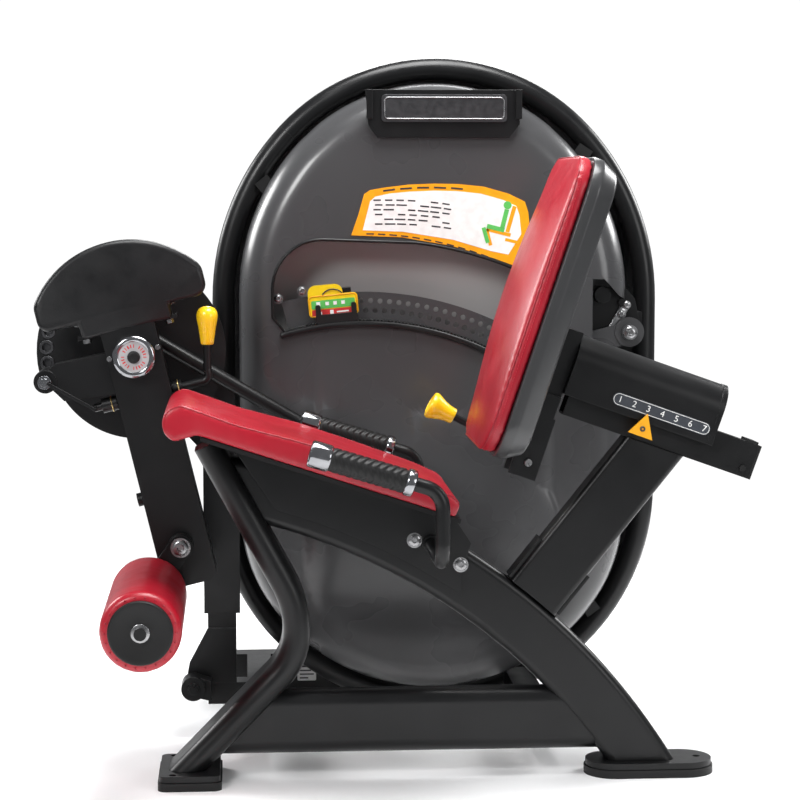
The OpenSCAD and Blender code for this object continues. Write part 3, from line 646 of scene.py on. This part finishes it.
cushion(roller, roller_seam, cap=6, cell=6)
ridden(roller, "roller", "red_vinyl", "roller_pad")
for end, tag in ((0, "far"), (ROLLER_L, "near")):
    face = ROLLER @ shift(0, 0, end) @ (Matrix.Identity(4) if end else turn(180, "X"))
    profile = [(0, 2), (16, 2), (17, 3.2), (46, 4.2), (50, 5.4), (54.5, 5.2), (56.5, 3.4), (57, 0.5),
               (56, -2), (0, -2)]
    disc = lathe(f"roller_disc_{tag}", profile, face, RUBBER)
    ridden(disc, "roller", "black_rubber", *(["roller_caps"] if end else []))
    washer = lathe(f"roller_washer_{tag}", [(0, 2), (0, 5.4), (15, 5.4), (16.5, 4.6), (16.5, 2)], face, STEEL)
    ridden(washer, "roller", "bolt_steel")
    head = prism(f"roller_bolt_{tag}", arc(0, 0, 9, 0, 300, 5), 0, 5.5, STEEL,
                 face @ shift(0, 0, 5) @ turn(90, "X"), 0.8)
    ridden(head, "roller", "bolt_steel")
    tacks = bmesh.new()
    for i in range(TACKS):
        a = 2 * math.pi * i / TACKS
        place = face @ shift(TACK_RING * math.cos(a), TACK_RING * math.sin(a), 0.6)
        grow = Matrix.Diagonal((0.0016, 0.0016, 0.0011, 1))
        bmesh.ops.create_icosphere(tacks, subdivisions=2, radius=1, matrix=place @ grow)
    ridden(built(f"roller_tacks_{tag}", tacks, VINYL_SEAM), "roller", "red_vinyl")

# ---------------------------------------------------------------- leg arm, counterweight, knee cap
LOBE_R, LOBE_Z = 198, 23
LOBE_HALF, LOBE_CORNER = 141, 22
NECK_HALF, NECK_LOW, NECK_TOP = 88, 52, 82
lobe_rim = math.degrees(math.asin(112.4 / LOBE_R))
plate = [(-NECK_HALF, NECK_LOW), (-NECK_HALF, NECK_TOP)] + arc(-LOBE_HALF, 104, LOBE_CORNER, 270, 180, 6)
plate += arc(0, LOBE_Z, LOBE_R, 180 - lobe_rim, lobe_rim, 30) + arc(LOBE_HALF, 104, LOBE_CORNER, 0, -90, 6)
plate += [(NECK_HALF, NECK_TOP), (NECK_HALF, NECK_LOW)]
weight = prism("counterweight_plate", plate[::-1], 188, 248, CAST, ARM, 9, 5)
crisp(weight, 60)
ridden(weight, "arm", "cast_black", "counterweight")
for side in (-1, 1):
    boss = lathe(f"weight_boss_{'near' if side < 0 else 'far'}", [(0, 4), (17, 4), (19, 2), (19, 0)],
                 ARM @ shift(side * 80, 218, 82) @ turn(180, "X"), STEEL, 32)
    ridden(boss, "arm", "bolt_steel")

KNEE = Matrix.Translation(spot(KNEE_X, 190, KNEE_Z)) @ TOWARDS_USER
cap = lathe("knee_cap_ring", [(29, 24), (29, 28.4), (31, 29.8), (35, 30), (38.5, 28.5), (40.8, 25), (41, 21),
                              (41, 3), (39, 0), (16, 0)], KNEE, CHROME)
ridden(cap, "arm", "chrome_trim", "knee_cap")
face = lathe("knee_face", [(0, 28), (13, 28), (13, 27.4), (29, 27.4), (29, 24), (0, 24)], KNEE, FACE_GREY)
ridden(face, "arm", "label_white", "knee_label")
hub = lathe("knee_bolt", [(0, 32.5), (5, 32.5), (5.5, 33), (10, 33), (12, 31.5), (12, 27), (0, 27)],
            KNEE, RUBBER, 48)
ridden(hub, "arm", "black_rubber")
marks = bmesh.new()
for i in range(24):
    if i % 6 == 5:
        continue
    grow = Matrix.Diagonal((0.0016 + 0.0006 * (i % 3), 0.0062, 0.0004, 1))
    place = KNEE @ turn(15 * i, "Z") @ shift(0, 21, 27.5)
    bmesh.ops.create_cube(marks, size=1, matrix=place @ grow)
ridden(built("knee_marks", marks, LABEL_RED, smooth=False), "arm", "label_white")

LEVER = ARM @ shift(0, 218, -80)
shaft = LEVER @ turn(90, "Y")
for place, length, tag in ((-66, 3, "rear"), (64, 3, "front")):
    ring = lathe(f"lever_ring_{tag}", [(13, 0), (15.4, 0.4), (16, 1.5), (15.4, length - 0.4), (13, length)],
                 shaft @ shift(0, 0, place), BRASS, 40)
    ridden(ring, "lever", "bolt_steel")

HOLE_RING, HOLE_STEP, HOLE_START = 177, 10, 197.3
for i in range(5):
    a = math.radians(HOLE_START - HOLE_STEP * i)
    place = spot(KNEE_X + HOLE_RING * math.cos(a), 328, KNEE_Z + HOLE_RING * math.sin(a))
    hole = Matrix.Translation(place) @ TOWARDS_USER
    profile = [(0, -9), (8, -9), (8, -1), (9, 0.4), (13.4, 0.6), (14.5, -0.6), (14.5, -12), (0, -12)]
    cup = lathe(f"index_hole_{i + 1}", profile, hole, DARK_STEEL, 40)
    ridden(cup, "disc", "bolt_steel", *(["index_bushings"] if i == 0 else []))

# The lever turns up beside the arm, so its knob stands upright while the arm leans
LEAN = 13.5
lean = math.radians(LEAN)
lever_end = LEVER @ shift(112 + 15 * math.cos(lean), 0, 15 + 15 * math.sin(lean)) @ turn(LEAN, "Y")
profile = [(0, 50), (11, 50), (12.5, 52), (13.5, 60), (17, 84), (20, 98), (20.5, 106), (19, 113), (15, 119),
           (8, 122.5), (0, 123.5)]
knob = lathe("start_knob", profile, lever_end, YELLOW)
ridden(knob, "lever", "yellow_knob", "lever_knob")

# ---------------------------------------------------------------- handles
GRIP_R = 22
GRIP_START, GRIP_LENGTH = 30, 138
TREAD_PITCH = 13


def chevron_grip(name, handle):
    """A rubber sleeve with a chevron tread that fades out at both ends."""
    turns, rows = 96, 150
    verts = []
    for k in range(rows + 1):
        z = GRIP_START + GRIP_LENGTH * k / rows
        fade = min(1.0, min(k, rows - k) / 6)
        for i in range(turns):
            a = 2 * math.pi * i / turns
            sweep = abs((3 * a / math.pi) % 2 - 1)
            wave = math.sin(2 * math.pi * (z / TREAD_PITCH + 1.1 * sweep))
            ridge = max(-1.0, min(1.0, 2.2 * wave))
            r = GRIP_R - 1.3 + 0.75 * ridge * fade - 0.9 * (1 - fade)
            verts.append(Vector((r * math.cos(a), r * math.sin(a), z)) / 1000)
    faces = ring_faces(turns, rows + 1)
    faces.append(list(range(turns))[::-1])
    faces.append([rows * turns + i for i in range(turns)])
    mesh = bpy.data.meshes.new(name)
    mesh.from_pydata(verts, [], faces)
    return add(name, mesh, RUBBER, handle)


for side in (-1, 1):
    tag = "near" if side < 0 else "far"
    handle = tilted(124, side * 270, 634, 107)
    grip = chevron_grip(f"grip_rubber_{tag}", handle)
    ridden(grip, "frame", "black_rubber", *(["hand_grips"] if side < 0 else []))
    profile = [(0, -2), (15, -2), (17, -5), (20.5, -6), (23, -4), (23.5, -1), (23.5, 27), (22.8, 29.5),
               (21.6, 31), (19, 31)]
    nose = lathe(f"grip_cap_{tag}", profile, handle, CHROME)
    ridden(nose, "frame", "chrome_trim", *(["grip_collars"] if side < 0 else []))
    profile = [(19, 166), (21.6, 166), (23, 167.5), (23.6, 170), (23.6, 178), (22.6, 181), (19, 183),
               (13, 183.4), (12.5, 184)]
    tail = lathe(f"grip_collar_{tag}", profile, handle, CHROME)
    ridden(tail, "frame", "chrome_trim")

# ---------------------------------------------------------------- back rest release
RELEASE_X, RELEASE_Z = 524, 588
RELEASE = tilted(RELEASE_X, 225, RELEASE_Z, -62)
stem = lathe("release_stem", [(0, -6), (7, -6), (7, 127), (12, 128), (12, 132), (0, 132)],
             RELEASE, POWDER, 32)
ridden(stem, "release", "powder_black", "release_lever")
bar = lathe("release_bar", [(0, -7), (6, -7), (7, -6), (7, 269), (6, 270), (0, 270)],
            Matrix.Translation(spot(RELEASE_X, 226, RELEASE_Z)) @ TOWARDS_USER, STEEL, 32)
ridden(bar, "release", "bolt_steel")
profile = [(0, 126), (14, 126), (15.5, 128), (16, 138), (18.5, 150), (23.5, 163), (26, 169), (26.5, 174),
           (24.5, 178), (18, 179.5), (16, 178), (0, 177.5)]
pull = lathe("release_knob", profile, RELEASE, YELLOW)
ridden(pull, "release", "yellow_knob")


# ---------------------------------------------------------------- tower shrouds
def shroud_outline(step):
    """Outline of the shroud moved inwards by step; the count of points never changes."""
    half = 395 - step
    corner = 330 - step
    offset, shoulder = 60, 43.1
    side = half + offset
    crown = side - offset / math.cos(math.radians(shoulder))
    points = arc(TOWER_X - offset, 870, side, 0, shoulder, 18)
    points += arc(TOWER_X, 926.2, crown, shoulder + 8, 172 - shoulder, 30)
    points += arc(TOWER_X + offset, 870, side, 180 - shoulder, 180, 18)
    points += arc(TOWER_X - half + corner, 426, corner, 180, 213.4, 15)
    points += arc(TOWER_X, 469, 408 - step, 218, 322, 42)
    points += arc(TOWER_X + half - corner, 426, corner, 326.6, 360, 15)
    return points


def belly(x, z):
    """The round swelling low on the front of the shroud."""
    q = ((x - 393) / 262) ** 2 + ((z - 352) / 288) ** 2
    return 24 * max(0.0, 1 - q) ** 0.5


def no_swell(x, z):
    return 0.0


ROLL, ROLL_DEPTH = 62, 76
FACE_RINGS = 46


def dome(name, rim_y, face_y, swell=no_swell, floor_z=-999, rim_step=0):
    """A thin moulded shell: rolled rim, nearly flat face, open behind, cut level at floor_z."""
    way = 1 if face_y < rim_y else -1
    rows = [(0, rim_y), (0, rim_y - way * (abs(face_y - rim_y) - ROLL_DEPTH) * 0.5)]
    for i in range(9):
        a = math.radians(90 * i / 8)
        rows.append((ROLL * (1 - math.cos(a)), face_y + way * ROLL_DEPTH * (1 - math.sin(a))))
    loops = [[(x, y, z) for x, z in shroud_outline(rim_step + step)] for step, y in rows]
    inner = loops[-1]
    for k in range(1, FACE_RINGS):
        s = 1 - k / FACE_RINGS
        mid_x, mid_z = TOWER_X * (1 - s), TOWER_MID_Z * (1 - s)
        loops.append([(mid_x + x * s, y, mid_z + z * s) for x, y, z in inner])
    verts = []
    for loop in loops:
        for x, y, z in loop:
            verts.append(spot(x, y - way * swell(x, z), max(z, floor_z)))
    count = len(inner)
    faces = ring_faces(count, len(loops))
    verts.append(spot(TOWER_X, face_y - way * swell(TOWER_X, TOWER_MID_Z), TOWER_MID_Z))
    last = (len(loops) - 1) * count
    for i in range(count):
        faces.append((last + i, last + (i + 1) % count, len(verts) - 1))
    obj = add(name, skin(name, verts, faces, 1e-5), SHROUD)
    thick = obj.modifiers.new("wall", "SOLIDIFY")
    thick.thickness = 0.004
    thick.offset = -1
    return bake(obj)


def cut(obj, tool):
    """Takes the tool's volume out of the object."""
    boolean = obj.modifiers.new("cut", "BOOLEAN")
    boolean.operation = "DIFFERENCE"
    boolean.object = tool
    boolean.solver = "EXACT"
    bake(obj)
    bpy.data.objects.remove(tool)
    return obj


def window(grow):
    """Outline of the selector window, grown outwards."""
    points = arc(WEIGHT_X, WEIGHT_Z, 580 - grow, 105, 56, 24) + [(615 + grow, 790), (612 + grow, 880 + grow)]
    points += arc(262, 226, 757 + grow, 64, 83, 16) + arc(166, 886, 98 + grow, 90, 180, 12)
    return points + [(68 - grow, 830)]


front = dome("tower_shell_front", 515, FACE_Y, belly)
notch = [(712, 745), (830, 745), (830, 838), (768, 872), (736, 905), (712, 905)]
cut(front, prism("window_cutter", window(0), FACE_Y - 30, FACE_Y + 60, SHROUD))
cut(front, prism("notch_cutter", notch, FACE_Y - 30, FACE_Y + 120, SHROUD))
cut(front, prism("shaft_cutter", arc(216, 528, 24, 0, 345, 23), FACE_Y - 30, FACE_Y + 60, SHROUD))
crisp(front, 30)
ridden(front, "frame", "shroud_grey", "shroud_front")
rear = dome("tower_shell_rear", 586, 700, floor_z=112, rim_step=-38)
crisp(rear, 30)
ridden(rear, "frame", "shroud_grey", "shroud_rear")

lip = [spot(x, FACE_Y, z) for x, z in window(1.5)]
ridden(tube("window_lip", lip, 3.2, FRAME_SIDE, closed=True), "frame", "shroud_grey")
SHELF_R, SHELF_INNER_R = 588, 576
shelf = arc(WEIGHT_X, WEIGHT_Z, SHELF_R, 106.5, 57, 60)
shelf += arc(WEIGHT_X, WEIGHT_Z, SHELF_INNER_R, 57, 106.5, 60)
ledge = prism("window_shelf", shelf, FACE_Y - 11, FACE_Y + 22, FRAME_SIDE, rounding=2.5)
ridden(ledge, "frame", "powder_black")
teeth = bmesh.new()
for x, z in arc(WEIGHT_X, WEIGHT_Z, SHELF_R + 1, 101, 58.3, 61):
    lean = math.atan2(x - WEIGHT_X, z - WEIGHT_Z)
    place = Matrix.Translation(spot(x, FACE_Y + 8, z)) @ Matrix.Rotation(lean, 4, "Y")
    bmesh.ops.create_cube(teeth, size=1, matrix=place @ Matrix.Diagonal((0.0036, 0.012, 0.005, 1)))
ridden(built("shelf_teeth", teeth, FRAME_SIDE, smooth=False), "frame", "powder_black")

LINK_Y = 450
link_top, link_low = Vector((790, 856)), Vector((739, 766))
across = Vector((90, -51)).normalized() * 9
link_bar = [tuple(p) for p in (link_top + across, link_top - across, link_low - across, link_low + across)]
ridden(prism("link_bar", link_bar, LINK_Y, LINK_Y + 5.5, STEEL, rounding=1.5), "frame", "bolt_steel")


def bolt(name, x, y, z, radius, body):
    """A washer and a domed screw head that faces the user's side."""
    face = Matrix.Translation(spot(x, y, z)) @ TOWARDS_USER
    # Radius as a share of the washer's, and height
    steps = [(0, 2.2), (0.28, 2.2), (0.34, 4.6), (0.55, 4.4), (0.74, 3.2), (0.8, 1.6), (1, 1.5), (1, 0)]
    profile = [(radius * share, height) for share, height in steps + [(0, 0)]]
    return ridden(lathe(name, profile, face, STEEL, 40), body, "bolt_steel")


screw = lathe("pointer_screw", [(0, 1), (1.6, 1), (1.8, 2.4), (4, 2.4), (5, 1.4), (5, 0)],
              RAIL @ shift(POINTER_X, -61, -8) @ TOWARDS_USER, DARK_STEEL, 32)
ridden(screw, "frame", "bolt_steel")
bolt("link_bolt_upper", 788, LINK_Y, 851, 9, "frame")
bolt("link_bolt_lower", 778, LINK_Y, 832, 9, "frame")
BEAM_HALF = 38
for x, z, tag in ((316, 447, "high"), (401, 401, "low")):
    head = bolt(f"frame_bolt_{tag}", x, -BEAM_HALF, z, 14, "frame")
    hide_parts(*(["frame_bolts"] if tag == "high" else []))
    nut = lathe(f"frame_nut_{tag}", [(0, 7), (9, 7), (11, 5), (14, 1.5), (14, 0), (0, 0)],
                Matrix.Translation(spot(x, BEAM_HALF, z)) @ turn(-90, "X"), STEEL, 40)
    ridden(nut, "frame", "bolt_steel")
bolt("sector_pivot_bolt", 793, 430, 796, 15, "frame")
bolt("roller_pivot_bolt", -114, ROLLER_Y, 408, 19, "link")
bolt("bracket_bolt_low", 78, 428, 867, 10, "selector")
bolt("bracket_bolt_high", 126, 428, 882, 10, "selector")


# ---------------------------------------------------------------- labels
INK_DEPTH = 0.3


def bars(name, boxes, y, material, matrix=None):
    """Printed strokes in place of any lettering: (x, z, width, height, angle) each, as thin plates."""
    work = bmesh.new()
    for x, z, w, h, angle in boxes:
        place = (matrix or Matrix.Translation(-CENTRE)) @ shift(x, y, z) @ turn(-angle, "Y")
        grow = Matrix.Diagonal((w / 1000, INK_DEPTH / 1000, h / 1000, 1))
        bmesh.ops.create_cube(work, size=1, matrix=place @ grow)
    return built(name, work, material, smooth=False)


# The placard follows the window's arc below and the tower's crown above
panel = [(247, 1004), (328, 1001), (428, 985), (505, 962), (540, 955), (566, 996), (562, 1034)]
panel += [(556, 1052), (530, 1064), (484, 1077), (436, 1082), (390, 1083), (342, 1081), (300, 1077)]
panel += [(272, 1071), (262, 1062)]
ridden(prism("placard_panel", panel, FACE_Y - 2, FACE_Y - 1.4, WHITE), "frame", "label_white")
lines = []
for row in range(6):
    for word in range(7):
        if (row + word) % 5 == 4:
            continue
        x = 276 + 23 * word + 3 * (row % 2)
        z = 1064 - 9.5 * row - 0.0006 * max(0, x - 300) ** 2
        lines.append((x, z, 15 + 3 * ((row * word) % 3), 3.0, -0.07 * max(0, x - 300)))
ridden(bars("placard_lines", lines, FACE_Y - 2.1, INK), "frame", "label_white")
strip = []
for word in range(11):
    x = 262 + 23 * word
    z = 997 - 0.00075 * max(0, x - 250) ** 2
    strip.append((x, z, 15, 2.6, -0.086 * max(0, x - 250)))
for word in range(5):
    x = 300 + 34 * word
    strip.append((x, 1089 - 0.0007 * (x - 385) ** 2, 24, 3.4, 7 - 3.2 * word))
ridden(bars("placard_strip", strip, FACE_Y - 1.8, INK), "frame", "label_yellow")
picture = [(520, 1000, 50, 7, -14), (545, 1026, 8, 54, -16), (500, 990, 7, 34, 14), (548, 982, 30, 6, -14)]
ridden(bars("placard_picture", picture, FACE_Y - 2.2, LABEL_ORANGE), "frame", "label_yellow")
figure = [(532, 1027, 9, 38, -14), (514, 1008, 36, 9, -14), (494, 994, 8, 32, 16)]
ridden(bars("placard_figure", figure, FACE_Y - 2.5, LABEL_GREEN), "frame", "label_white")
head = lathe("placard_head", [(0, 0.6), (8, 0.6), (8, 0)],
             Matrix.Translation(spot(538, FACE_Y - 2, 1054)) @ TOWARDS_USER, LABEL_GREEN, 24)
ridden(head, "frame", "label_white")

serial = [(139, 70, 30, 4, 0), (136, 61, 24, 3, 0), (139, 53, 30, 3, 0), (133, 45, 18, 3, 0)]
ridden(bars("serial_lines", serial, 648.8, INK), "frame", "label_white")

frame_line = [spot(x, 391.6, z) for x, z in rounded(238, 42, 7, 5, 409, 1246)]
ridden(tube("header_border", frame_line, 1.4, STEEL, closed=True), "frame", "bolt_steel")

CARRIAGE = tilted(WEIGHT_X, 0, WEIGHT_Z, 90 - 95.4)
TAG_Y = 424
for name, height, z, ink in (("tag_green", 17, 625, LABEL_GREEN), ("tag_red", 13, 608.5, LABEL_RED)):
    field = prism(name, rounded(88, height, 3, 4, 0, z), TAG_Y - 0.6, TAG_Y + 0.1, ink, CARRIAGE)
    ridden(field, "selector", "label_yellow")
arrow = arc(0, 628, 26, 140, 40, 14)
arrow_path = [CARRIAGE @ (Vector((x, TAG_Y - 0.8, z)) / 1000) for x, z in arrow]
ridden(tube("tag_arrow", arrow_path, 1.3, INK), "selector", "label_yellow")
signs = [(-30, 622, 8, 17, 0)] + [(x, 626, 7, 7, 0) for x in (-12, 4, 20)]
signs += [(-30, 607, 12, 7, 0), (-4, 608, 7, 9, 0), (18, 608, 24, 3, 0)]
ridden(bars("tag_signs", signs, TAG_Y - 0.9, WHITE, CARRIAGE), "selector", "label_white")
tag_edge = [CARRIAGE @ (Vector((x, TAG_Y, z)) / 1000) for x, z in rounded(96, 40, 7, 6, 0, 622)]
ridden(tube("tag_edge", tag_edge, 1.2, LABEL_ORANGE, closed=True), "selector", "label_yellow")

SCALE_Y, SCALE_Z = -51, 29
SCALE_PITCH = 27.4
outline = [RAIL @ (Vector((x, SCALE_Y, z)) / 1000) for x, z in rounded(186, 20, 9.9, 10, 8, SCALE_Z)]
ridden(tube("scale_border", outline, 0.55, WHITE, closed=True), "back", "label_white")
for number in range(1, 8):
    text = bpy.data.curves.new(f"scale_mark_{number}", "FONT")
    text.body = str(number)
    text.size = 0.0165
    text.extrude = 0.0002
    text.align_x = "CENTER"
    text.align_y = "CENTER"
    # The pointer marks 3 at rest
    place = RAIL @ shift(POINTER_X + SCALE_PITCH * (number - 3), SCALE_Y - 0.2, SCALE_Z)
    digit = from_data(f"scale_mark_{number}", text, WHITE, place @ TOWARDS_USER, smooth=False)
    ridden(digit, "back", "label_white")

# ---------------------------------------------------------------- camera, floor, light
FLOOR_R = 2.3
mesh = bpy.data.meshes.new("studio_floor")
verts = [(x, z, 0) for x, z in arc(0, 0, FLOOR_R, 0, 356, 89)]
mesh.from_pydata(verts, [], [list(range(len(verts)))])
paper = Finish("studio_paper", (0.97, 0.97, 0.975), 0.8)
paper.tint(paper.noise(2, 2), 0.99, 1.01)
floor = add("studio_floor", mesh, paper.mat)

# The backdrop is seen as white, and lights the object only softly
world = bpy.data.worlds.new("studio")
world.use_nodes = True
nodes = world.node_tree.nodes
links = world.node_tree.links
glow = nodes["Background"]
glow.inputs["Color"].default_value = (0.95, 0.97, 1.0, 1)
glow.inputs["Strength"].default_value = 0.24
backdrop = nodes.new("ShaderNodeBackground")
backdrop.inputs["Color"].default_value = (1, 1, 1, 1)
backdrop.inputs["Strength"].default_value = 1.05
seen = nodes.new("ShaderNodeLightPath")
either = nodes.new("ShaderNodeMixShader")
links.new(seen.outputs["Is Camera Ray"], either.inputs[0])
links.new(glow.outputs[0], either.inputs[1])
links.new(backdrop.outputs[0], either.inputs[2])
links.new(either.outputs[0], nodes["World Output"].inputs["Surface"])
scene.world = world


def lamp(name, place, aim, power, size):
    light = bpy.data.lights.new(name, "AREA")
    light.energy = power
    light.size = size
    obj = bpy.data.objects.new(name, light)
    scene.collection.objects.link(obj)
    obj.location = place
    obj.rotation_euler = (Vector(aim) - Vector(place)).to_track_quat("-Z", "Y").to_euler()


lamp("key", (-2.4, -3.2, 2.8), (0, 0, 0.6), 84, 1.1)
lamp("fill", (2.8, -3.0, 1.6), (0, 0, 0.6), 34, 1.6)
lamp("top", (0.2, -0.4, 3.0), (0, 0, 0.4), 100, 1.4)
lamp("rim_left", (-2.6, 1.6, 2.0), (0, 0.2, 0.8), 60, 1.2)
lamp("rim_right", (2.6, 1.4, 2.0), (0, 0.2, 0.8), 60, 1.2)
lamp("rear", (0.4, 3.2, 2.6), (0, 0, 0.6), 70, 1.6)

camera = bpy.data.objects.new("camera", bpy.data.cameras.new("camera"))
scene.collection.objects.link(camera)
camera.location = spot(0, -4060, 1075)
camera.data.sensor_width = 36
camera.data.lens = 100.5
aim = Vector((0.072, 1, -0.0922))
camera.rotation_euler = aim.to_track_quat("-Z", "Y").to_euler()
scene.camera = camera
scene.view_settings.view_transform = "Standard"
